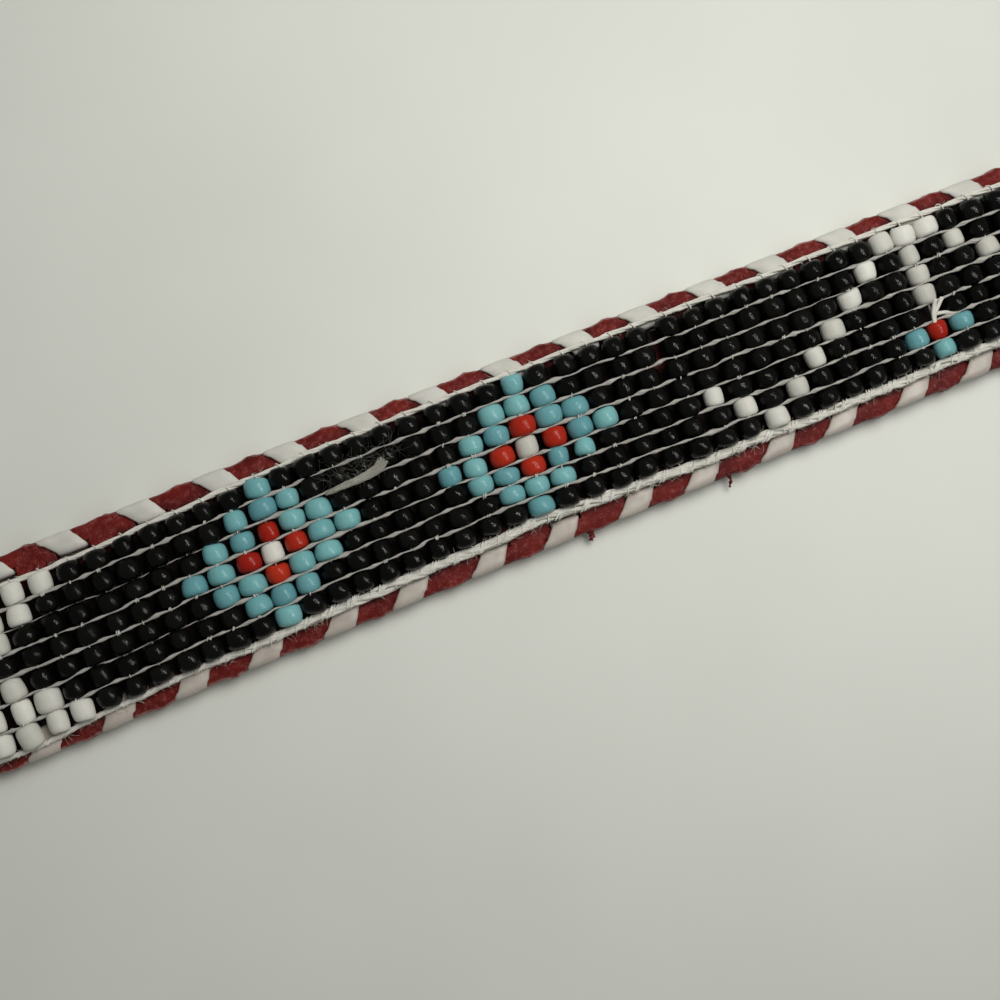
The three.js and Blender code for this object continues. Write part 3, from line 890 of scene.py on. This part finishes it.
def frayed_tail(material):
    """A thread end that has come loose over the second row: a bundle of fibres that splays at its end."""
    path = laid_path((
        (-23.6, 2.55, -0.5), (-22.9, 2.52, -0.15), (-22.3, 2.52, 0.1),
        (-21.8, 2.45, 0.25), (-21.5, 2.3, 0.3), (-21.3, 2.08, 0.3),
    ), BAND_HIGH.z, 5)
    share = np.linspace(0.0, 1.0, len(path))
    across, _ = path_frames(path)
    tubes = []
    strands = 190
    for _ in range(strands):
        start = random_source.integers(0, len(path) // 4)
        end = random_source.integers(len(path) * 3 // 4, len(path) + 1)
        turn = random_source.uniform(0, 2 * math.pi) + share * random_source.uniform(0.5, 2.5)
        reach = (0.28 + 0.36 * share ** 0.7) * MM * random_source.uniform(0.1, 1.0) ** 0.7
        strand = path + across * (reach * np.cos(turn))[:, None]
        strand[:, 2] += reach * np.sin(turn) * 0.75
        strand += random_source.normal(0.0, 0.03 * MM, strand.shape)
        tubes.append((strand[start:end], 0.04 * MM))
    return join_tubes("frayed_thread_tail", tubes, material, 4), path


def tail_fluff(path, light, dark):
    """Hairs round the frayed tail, pale near it and dark where they lie matted over the black beads."""
    pale_hairs = 45
    pick = random_source.integers(len(path) // 3, len(path), pale_hairs)
    direction = random_source.normal(0.0, 1.0, (pale_hairs, 3)) + (-0.5, 0.9, 0.0)
    direction[:, 2] = np.abs(direction[:, 2]) * 0.25
    lengths = random_source.uniform(0.4, 1.3, pale_hairs) * MM
    pale = fibres("frayed_tail_fluff", path[pick], unit(direction), lengths, light, 0.03 * MM)
    matted_hairs = 120
    roots = []
    for _ in range(matted_hairs):
        x, y = column_place(random_source.uniform(-23.7, -20.7), random_source.normal(1.85, 0.28))
        roots.append((x, y, BAND_HIGH.z + random_source.uniform(0.0, 0.25) * MM))
    direction = random_source.normal(0.0, 1.0, (matted_hairs, 3))
    direction[:, 2] *= 0.15
    lengths = random_source.uniform(0.8, 2.4, matted_hairs) * MM
    matted = fibres("matted_fibres", np.array(roots), unit(direction), lengths, dark, steps=7)
    return [pale, matted]


def broken_threads(material):
    """The thread ends left where a bead is missing from the middle motif."""
    strands = (
        ((-0.15, 4.45, 1.2), (-0.3, 4.8, 0.9), (-0.42, 5.2, 0.8), (-0.5, 5.6, 1.0)),
        ((0.1, 4.5, 1.1), (-0.15, 4.85, 0.9), (-0.38, 5.25, 0.7), (-0.46, 5.62, 0.8)),
        ((-0.35, 5.15, 0.5), (0.05, 5.25, 0.3), (0.35, 5.45, 0.4), (0.55, 5.6, 0.7)),
    )
    tubes = [(laid_path(strand, WEAVE_HEIGHT, 6), 0.27 * MM) for strand in strands]
    return join_tubes("broken_threads", tubes, material, 7)


def eased_steps(count):
    """A smooth step between two levels, point by point: share of its length, share of its rise."""
    share = np.linspace(0.0, 1.0, count)
    return zip(share, (1 - np.cos(math.pi * share)) / 2)


def strap_line():
    """The leather's middle line in side view, from the tip, round the buckle's bar and under itself."""
    tip_start = STRAP_HIGH.x - TIP_ROUND
    middle = (STRAP_BOTTOM + STRAP_TOP) / 2
    raised = STRAP_THICKNESS * 1.5 + CLEARANCE
    step_x = BAR_X + FLAP_LENGTH + FOLD_STEP
    even_step = 0.8 * MM
    brink_width = 0.16 * MM
    tip_x = tip_start + TIP_ROUND * np.sin(np.radians(np.linspace(86, 0, 16)))
    brinks = np.concatenate([stitch_places(1), stitch_places(-1)])
    brinks = (brinks[:, None] + np.array((-1, 1)) * HALF_LACE).ravel()
    brinks = np.concatenate([brinks - brink_width / 2, brinks + brink_width / 2])
    brinks = brinks[(brinks > step_x + MM) & (brinks < tip_start - MM)]
    even = np.arange(tip_start - even_step, step_x, -even_step)
    stretch_x = np.sort(np.concatenate([even, brinks]))[::-1]
    stretch_x = stretch_x[np.append(True, np.diff(stretch_x) < -0.02 * MM)]
    line = [(x, middle) for x in np.concatenate([tip_x, stretch_x])]
    for share, eased in eased_steps(22):
        line.append((step_x - FOLD_STEP * share, middle + (raised - middle) * eased))
    for x in np.linspace(BAR_X + FLAP_LENGTH, BAR_X + FOLD_TAPER, 12)[1:]:
        line.append((x, raised))
    for share, eased in list(eased_steps(22))[1:]:
        line.append((BAR_X + FOLD_TAPER * (1 - share), raised + (BAR_HEIGHT + FOLD_RADIUS - raised) * eased))
    for angle in np.radians(np.linspace(90, 270, 26))[1:]:
        line.append((BAR_X + FOLD_RADIUS * math.cos(angle), BAR_HEIGHT + FOLD_RADIUS * math.sin(angle)))
    flap_end = BAR_X + FLAP_LENGTH - STRAP_THICKNESS
    for x in np.linspace(BAR_X, flap_end, 30)[1:]:
        line.append((x, BAR_HEIGHT - FOLD_RADIUS))
    return np.array(line)


def stitch_places(side):
    """Where each stitch of the lacing crosses the edge, along the belt."""
    stitches = np.arange(STITCHES)
    return FIRST_STITCH + stitches * STITCH_PITCH + table_value(STITCH_CREEP[side], stitches) * MM


def edge_wander(x, side):
    """How far the edge has wandered outwards at a place along the belt."""
    return table_value(EDGE_WANDER[side], column_from_middle(x)) * MM


def edge_line(x, side, tones):
    """How far the strap's edge stands out: drawn in under the lace, straight between with a small hump."""
    places = stitch_places(side)
    stitch = np.clip(np.searchsorted(places, x) - 1, 0, STITCHES - 2)
    start = places[stitch] + HALF_LACE
    end = places[stitch + 1] - HALF_LACE
    share = np.clip((x - start) / (end - start), 0.0, 1.0)
    laced = (x > places[0]) & (x < places[-1])
    tone = tones[stitch, 0 if side > 0 else 1]
    nearest = np.abs(x[..., None] - places).min(axis=-1)
    bare = np.clip((nearest - HALF_LACE) / (0.15 * MM) + 0.5, 0.0, 1.0)
    hump = (0.1 * MM + 0.3 * MM * tone) * np.exp(-((share - 0.66) / 0.16) ** 2) * laced
    drawn_in = EDGE_UNDER_LACE + (EDGE_REACH - EDGE_UNDER_LACE) * bare + hump * bare + edge_wander(x, side)
    plain = np.clip((nearest - STITCH_PITCH) / STITCH_PITCH, 0.0, 1.0) * ~laced
    return drawn_in + (HALF_WIDTH - drawn_in) * plain


def box_points(low, high):
    """Corners and faces of a plain box."""
    x, y, z = zip(low, high)
    corners = [(a, b, c) for c in z for a, b in ((x[0], y[0]), (x[1], y[0]), (x[1], y[1]), (x[0], y[1]))]
    faces = [(0, 3, 2, 1), (4, 5, 6, 7), (0, 1, 5, 4), (1, 2, 6, 5), (2, 3, 7, 6), (3, 0, 4, 7)]
    return np.array(corners), np.array(faces)


def strap_cutters(material):
    """Slits for the lace, holes for the prong and the slot in the fold, as one mesh."""
    margin = 4 * MM
    half = LACE_THICKNESS / 2 + CLEARANCE
    reach = HALF_LACE + CLEARANCE
    boxes = []
    for side in (1, -1):
        for x in stitch_places(side) + LACE_RUN:
            boxes.append(box_points(
                (x - reach, side * SLIT_PLACE - half, STRAP_BOTTOM - margin),
                (x + reach, side * SLIT_PLACE + half, STRAP_TOP + margin),
            ))
    boxes.append(box_points(
        (STRAP_LOW.x - margin, -PRONG_SLOT_WIDTH / 2, -margin),
        (BAR_X + PRONG_SLOT_REACH, PRONG_SLOT_WIDTH / 2, STRAP_HIGH.z + margin),
    ))
    points, quads, caps = [], [], []
    first = 0
    for corners, faces in boxes:
        points.append(corners)
        quads.append(faces + first)
        first += len(corners)
    around = 20
    angle = circle_angles(around)
    ring = np.stack([np.cos(angle), np.sin(angle), np.zeros(around)], axis=-1) * HOLE_DIAMETER / 2
    for hole in range(HOLE_COUNT):
        x = STRAP_HIGH.x - HOLE_TIP_INSET - hole * HOLE_PITCH
        path = np.array([(x, 0.0, STRAP_BOTTOM - margin), (x, 0.0, STRAP_TOP + margin)])
        points.append((path[:, None, :] + ring[None]).reshape(-1, 3))
        side, start, end = tube_faces(2, around, first)
        quads.append(side)
        caps.extend([start, end])
        first += 2 * around
    faces = [np.concatenate(quads), np.concatenate(caps)]
    return make_mesh("strap_cutters", np.concatenate(points), faces, material, smooth=False)


def strap_skin(tones, material):
    """The whole strap before its holes are cut, its edges bulging between the stitches."""
    line = strap_line()
    forward = unit(np.gradient(line, axis=0))
    normal = np.stack([forward[:, 1], -forward[:, 0]], axis=-1)
    x = line[:, 0]
    past = np.clip((x - (STRAP_HIGH.x - TIP_ROUND)) / TIP_ROUND, 0.0, 1.0)
    taper = np.sqrt(1 - past ** 2)
    edges = {side: edge_line(x, side, tones) * taper for side in (1, -1)}
    face = np.linspace(-1.0, 1.0, 17)
    rim = np.radians((-60, -25, 0, 25, 60))
    half = STRAP_THICKNESS / 2
    across, height, is_rim = [], [], []
    for side in (1, -1):
        for share in face * side:
            across.append(share * (np.where(share > 0, edges[1], edges[-1]) - STRAP_CORNER * taper))
            height.append(side * half)
        for angle in -rim * side:
            across.append(side * (edges[side] - STRAP_CORNER * taper * (1 - math.cos(angle))))
            height.append(half * math.sin(angle))
        is_rim += [False] * len(face) + [True] * len(rim)
    across = np.stack(across, axis=1)
    across = across + random_source.normal(0.0, 0.045 * MM, across.shape) * np.array(is_rim)
    height = np.array(height)[None, :]
    skin_x = line[:, :1] + normal[:, :1] * height
    skin_z = line[:, 1:] + normal[:, 1:] * height
    points = np.stack([skin_x, across, skin_z], axis=-1)
    return make_mesh("strap_leather_skin", points, tube_faces(len(x), across.shape[1]), material)


def cut_holes(piece, cutters):
    """Takes the cutters' shapes out of a piece for good, and the cutters out of the scene."""
    cut = piece.modifiers.new("holes", "BOOLEAN")
    cut.operation = "DIFFERENCE"
    cut.solver = "EXACT"
    cut.object = cutters
    bpy.context.view_layer.update()
    cut_mesh = bpy.data.meshes.new_from_object(piece.evaluated_get(bpy.context.evaluated_depsgraph_get()))
    piece.modifiers.clear()
    piece.data = cut_mesh
    bpy.data.objects.remove(cutters)


def leather_strap(material):
    """The strap with its bulging edges, its holes and its fold, as a fine skin."""
    tones = random_source.uniform(0.5, 1.0, (STITCHES, 2))
    piece = strap_skin(tones, material)
    cut_holes(piece, strap_cutters(material))
    places = np.empty(len(piece.data.vertices) * 3)
    piece.data.vertices.foreach_get("co", places)
    x, y, z = places.reshape(-1, 3).T
    reach = np.where(y > 0, edge_line(x, 1, tones), edge_line(x, -1, tones))
    rim_share = np.clip((np.abs(y) - reach + STRAP_CORNER) / (0.3 * MM), 0.0, 1.0)
    add_values(piece, "cut_edge", rim_share * np.clip(0.2 + (reach - EDGE_REACH) / (0.35 * MM), 0.0, 1.0))
    # Painted shade mask: leather between the edge cords, under the beads, is darkened fully, and a little
    # less at the slack gap.
    between_cords = (y < cord_line(1, x)[0]) & (y > cord_line(-1, x)[0])
    shaded = between_cords & (z > STRAP_BOTTOM) & (x > BAND_LOW.x) & (x < BAND_HIGH.x)
    from_slack = np.abs(column_from_middle(x) - SLACK_COLUMN + 0.5)
    slack = (from_slack < 0.8) & (np.abs(y - 2 * ROW_PITCH) < 0.6 * ROW_PITCH)
    add_values(piece, "painted_shade_under_beads", shaded * np.where(slack, 0.6, 1.0))
    return piece


def lace_loop():
    """One turn of the lace round the strap's edge, seen along the belt, starting at the edge on top.

    Columns: place across, height, outward direction across and up, share of the way along on top, share of
    the way along below.
    """
    bottom = LACE_BODY + LACE_CROWN + 0.02 * MM
    top = STRAP_TOP + SNUG
    inner = LACE_INNER + LACE_INNER_BEND
    outer = LACE_REACH - LACE_BODY - LACE_OUTER_BEND
    stations = []

    def crossing(y):
        return np.clip((LACE_REACH - y) / (LACE_REACH - LACE_INNER), 0.0, 1.0)

    for share in np.linspace(0.0, 1.0, 7):
        y = outer + (inner - outer) * share
        stations.append((y, top, 0.0, 1.0, crossing(y), 0.0))
    for centre, angles in ((top - LACE_INNER_BEND, (60, 30, 0)), (bottom + LACE_INNER_BEND, (0, -45, -90))):
        for angle in np.radians(angles):
            y = inner - LACE_INNER_BEND * math.cos(angle)
            z = centre + LACE_INNER_BEND * math.sin(angle)
            stations.append((y, z, -math.cos(angle), math.sin(angle), 1.0, 0.0))
    for share in np.linspace(0.0, 1.0, 6)[1:]:
        stations.append((inner + (outer - inner) * share, bottom, 0.0, -1.0, 1.0, 0.84 * share))
    for angle in np.radians((-60, -30, 0)):
        y = outer + LACE_OUTER_BEND * math.cos(angle)
        z = bottom + LACE_OUTER_BEND * (1 + math.sin(angle))
        returned = 1.0 + 0.16 * math.degrees(angle) / 90
        stations.append((y, z, math.cos(angle), math.sin(angle), 1.0, returned))
    for angle in np.radians((20, 40, 58, 75)):
        y = outer + LACE_OUTER_BEND * math.cos(angle)
        z = top - LACE_OUTER_BEND * (1 - math.sin(angle))
        returned = 1.0 + crossing(y + LACE_BODY * math.cos(angle)) * LACE_RUN / STITCH_PITCH
        stations.append((y, z, math.cos(angle), math.sin(angle), 1.0, returned))
    return np.array(stations)


def edge_lacing(name, side, material):
    """The flat lace whip-stitched round one edge, a little uneven from stitch to stitch."""
    loop = lace_loop()
    past_slit = 13
    places = stitch_places(side)
    pitches = np.append(np.diff(places), STITCH_PITCH)
    corner = 0.3 * LACE_BODY
    # The lace's cross section: side of it, height over its inner face, distance in from its side
    outline = (
        (-1, corner, 0), (-1, 0, corner), (1, 0, corner), (1, corner, 0),
        (1, LACE_BODY - 1.4 * corner, 0), (1, LACE_BODY, 1.6 * corner),
        (0.35, LACE_BODY + LACE_CROWN, 0), (-0.35, LACE_BODY + LACE_CROWN, 0),
        (-1, LACE_BODY, 1.6 * corner), (-1, LACE_BODY - 1.4 * corner, 0),
    )
    rings = []
    for stitch in range(STITCHES):
        narrow = 1 + random_source.normal(0.0, 0.03)
        stations = loop[:past_slit] if stitch == STITCHES - 1 else loop
        for y, z, out_y, out_z, crossed, returned in stations:
            x = places[stitch] + crossed * LACE_RUN + returned * (pitches[stitch] - LACE_RUN)
            at_slit = 1 - abs(y - LACE_INNER) / (LACE_REACH - LACE_INNER)
            half = HALF_LACE * narrow * (1.12 - 0.18 * at_slit)
            ring = []
            for edge, rise, inset in outline:
                reach = edge * (half - inset) if abs(edge) == 1 else edge * half
                ring.append((x + reach, side * (y + out_y * rise), z + out_z * rise))
            rings.append(ring)
    points = np.array(rings)
    bent = LACE_REACH - LACE_BODY - LACE_OUTER_BEND - LACE_INNER
    outside = np.clip((np.abs(points[..., 1]) - LACE_INNER) / bent, 0.0, 1.0)
    points[..., 1] += side * outside * edge_wander(points[..., 0], side)
    around = len(outline)
    faces = tube_faces(len(points), around)
    if side > 0:
        faces = [block[:, ::-1] for block in faces]
    unwrapped = tube_unwrapping(lengths_along(points.mean(axis=1)), around, 2 * LACE_WIDTH)
    return make_mesh(name, points, faces, material, unwrapped)


def leather_flakes(material):
    """Two shreds of leather that hang from the lower edge."""
    flakes = []
    for column, reach, width in ((-15.05, 1.2 * MM, 0.9 * MM), (-9.5, 1.5 * MM, 0.5 * MM)):
        x = column_x(column)
        points = [
            (x, -EDGE_REACH + 0.2 * MM, STRAP_BOTTOM + 0.9 * MM),
            (x + 0.15 * MM, -EDGE_REACH - reach * 0.4, STRAP_BOTTOM + 0.6 * MM),
            (x - 0.1 * MM, -EDGE_REACH - reach * 0.75, STRAP_BOTTOM + 0.3 * MM),
            (x - 0.25 * MM, -EDGE_REACH - reach, STRAP_BOTTOM + 0.2 * MM),
        ]
        path = bend_curve(points, 5)
        share = np.linspace(0.0, 1.0, len(path))
        uneven = 1 + 0.35 * np.sin(share * 15)
        flakes.append((path, width / 2 * uneven * (1 - 0.5 * share)))
    return join_tubes("leather_shreds", flakes, material, 6)


def tilted(points):
    """From the buckle's own plane, with its bar on the origin, to its place on the belt."""
    tilt = math.asin((BAR_HEIGHT - BAR / 2 - CLEARANCE) / (BUCKLE_WINDOW + BAR))
    x, y, z = points[..., 0], points[..., 1], points[..., 2]
    return np.stack([
        BAR_X + x * math.cos(tilt) - z * math.sin(tilt),
        y,
        BAR_HEIGHT + x * math.sin(tilt) + z * math.cos(tilt),
    ], axis=-1)


def rounded_frame_path():
    """Middle line of the buckle's frame, seen from above, closed on itself."""
    half_y = BUCKLE_HIGH.y - BAR / 2 - BUCKLE_CORNER
    far = BUCKLE_CORNER - (BUCKLE_WINDOW + BAR)
    corners = (
        (-BUCKLE_CORNER, half_y, 0),
        (far, half_y, 90),
        (far, -half_y, 180),
        (-BUCKLE_CORNER, -half_y, 270),
    )
    path = []
    for centre_x, centre_y, start in corners:
        for angle in np.radians(np.linspace(start, start + 90, 9)):
            x = centre_x + BUCKLE_CORNER * math.cos(angle)
            path.append(np.array((x, centre_y + BUCKLE_CORNER * math.sin(angle), 0.0)))
    dense = []
    for point, after in zip(path, path[1:] + path[:1]):
        cuts = max(1, int(np.linalg.norm(after - point) / (1.2 * MM)))
        dense.extend(point + (after - point) * cut / cuts for cut in range(cuts))
    return np.array(dense)


def belt_buckle(material):
    """Frame and prong as one plain piece of plated metal."""
    path = rounded_frame_path()
    around = 16
    forward = unit(np.roll(path, -1, axis=0) - np.roll(path, 1, axis=0))
    side = np.stack([forward[:, 1], -forward[:, 0], np.zeros(len(path))], axis=-1)
    angle = circle_angles(around)
    boxiness = 3.2
    bulge = np.abs(np.cos(angle)) ** boxiness + np.abs(np.sin(angle)) ** boxiness
    reach = BAR / 2 * 0.985 / bulge ** (1 / boxiness)
    across = (np.cos(angle) * reach)[None, :, None] * side[:, None, :]
    up = np.zeros((1, around, 3))
    up[0, :, 2] = np.sin(angle) * reach
    frame_points = tilted(path[:, None, :] + across + up).reshape(-1, 3)
    prong = bend_curve((
        (0.0, 0.0, 0.4 * MM),
        (-BAR, 0.0, BAR / 2 + 0.35 * MM),
        (-12 * MM, 0.0, BAR / 2 + 0.6 * MM),
        (-BUCKLE_WINDOW, 0.0, BAR / 2 + 0.75 * MM),
        (-BUCKLE_WINDOW - BAR, 0.0, BAR / 2 + 0.7 * MM),
        (-BUCKLE_WINDOW - BAR * 1.45, 0.0, BAR / 2 + 0.2 * MM),
    ), 8)
    share = np.linspace(0.0, 1.0, len(prong))
    prong_around = 14
    prong_rings = tube_points(prong, 1.35 * MM - 0.35 * MM * share ** 3, prong_around, flatten=0.68)
    sides, start, end = tube_faces(len(prong), prong_around, len(frame_points))
    points = np.concatenate([frame_points, tilted(prong_rings).reshape(-1, 3)])
    faces = [np.concatenate([closed_tube_faces(len(path), around), sides]), start, end]
    return make_mesh("buckle_frame_and_prong", points, faces, material)


def stage_floor():
    """The pale surface that the belt lies on, one large square."""
    half = 3.0
    points = np.array([(-half, -half, 0), (half, -half, 0), (half, half, 0), (-half, half, 0)])
    floor = make_mesh("pale_floor", points, [np.array([(0, 1, 2, 3)])], floor_material(), smooth=False)


def add_area_light(name, place, target, size, power, color, turn=0.0):
    """A rectangular light that faces a target and that the camera doesn't see."""
    data = bpy.data.lights.new(name, "AREA")
    data.shape = "RECTANGLE"
    data.size, data.size_y = size
    data.energy = power
    data.color = color
    light = bpy.data.objects.new(name, data)
    light.location = place
    aim = (Vector(target) - Vector(place)).to_track_quat("-Z", "Y")
    light.rotation_euler = (aim @ Quaternion((0.0, 0.0, 1.0), turn)).to_euler()
    light.visible_camera = False
    bpy.context.scene.collection.objects.link(light)
    return light


def light_and_camera():
    """A soft light over the belt, a narrow strip that only shows as a glint, and the photo's camera."""
    scene = bpy.context.scene
    world = bpy.data.worlds.new("soft_room")
    world.use_nodes = True
    background = world.node_tree.nodes["Background"]
    background.inputs["Color"].default_value = (0.93, 0.95, 0.92, 1.0)
    background.inputs["Strength"].default_value = 0.2
    scene.world = world
    seen = (-81.6 * MM, -4.3 * MM, 4.8 * MM)
    key = add_area_light("key", (0.002, 0.060, 0.216), seen, (0.14, 0.14), 0.44, (1.0, 0.995, 0.95))
    key.visible_glossy = False
    glint = add_area_light(
        "glint", (0.03, 0.0, 0.21), seen, (0.006, 0.26), 0.48, (1.0, 1.0, 0.97), math.radians(-67)
    )
    glint.visible_diffuse = False
    data = bpy.data.cameras.new("camera")
    data.sensor_width = 36.0
    data.lens = 50.4
    camera = bpy.data.objects.new("camera", data)
    camera.location = (-97.5 * MM, -6.25 * MM, 181.0 * MM)
    camera.rotation_euler = (math.radians(2.49), math.radians(-4.49), math.radians(-21.72))
    scene.collection.objects.link(camera)
    scene.camera = camera
    scene.view_settings.view_transform = "Standard"


def dress_belt():
    """Builds every visible piece, hides the frame's parts that the pieces stand for, and hangs them all on
    the root body.
    """
    beads = lay_out_beads()
    leather = leather_material()
    # Lit and shaded copies of one white lace: the lower copy is painted darker and pinker as painted shade
    # for the edge that slopes away from the light.
    lit_upper_lace = lace_material("white_lace_upper_lit", (0.58, 0.565, 0.52), (0.65, 0.635, 0.59), 0.15)
    shaded_lower_lace = lace_material("white_lace_lower_painted_shade", (0.45, 0.395, 0.35), (0.56, 0.505, 0.455), 0.4)
    cord_cotton = thread_material("cord_cotton", 10.0, (0.80, 0.775, 0.71), (0.56, 0.54, 0.48))
    knot_cotton = thread_material("weft_knot_cotton", 10.0, (0.88, 0.86, 0.80), (0.62, 0.60, 0.54))
    dark_fibre = thread_material("matted_dark_fibre", 10.0, (0.11, 0.11, 0.09), (0.04, 0.04, 0.03))
    tail_cotton = thread_material("tail_cotton", 10.0, (0.50, 0.48, 0.42), (0.17, 0.16, 0.13))
    strap = leather_strap(leather)
    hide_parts("leather_strap")
    upper = edge_lacing("lace_upper_ribbon", 1, lit_upper_lace)
    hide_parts("edge_lacing_upper")
    lower = edge_lacing("lace_lower_ribbon", -1, shaded_lower_lace)
    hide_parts("edge_lacing_lower")
    buckle = belt_buckle(metal_material())
    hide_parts("belt_buckle")
    bead_meshes = bead_pieces(beads)
    for piece in bead_meshes:
        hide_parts("bead_band")
    threads = [
        warp_threads(beads),
        warp_knots(beads),
        edge_cord("edge_cord_upper", 1, 4, 0.44 * MM, 9.0 * MM, cord_cotton),
        edge_cord("edge_cord_lower", -1, 9, 0.52 * MM, 13.0 * MM, cord_cotton),
        cord_knots(beads, knot_cotton),
        weft_threads(beads, cord_cotton),
        cord_fluff(cord_cotton),
        broken_threads(cord_cotton),
    ]
    tail, tail_path = frayed_tail(tail_cotton)
    threads += [tail, *tail_fluff(tail_path, tail_cotton, dark_fibre)]
    for piece in threads:
        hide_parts("bead_band")
    shreds = leather_flakes(leather)
    slots = (
        ("strap_leather", [strap, shreds]),
        ("lace_plastic", [upper, lower]),
        ("bead_glass", bead_meshes),
        ("thread_cotton", threads),
        ("buckle_metal", [buckle]),
    )
    for slot, pieces in slots:
        for piece in pieces:
            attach(piece, "root")


light_and_camera()
stage_floor()
dress_belt()
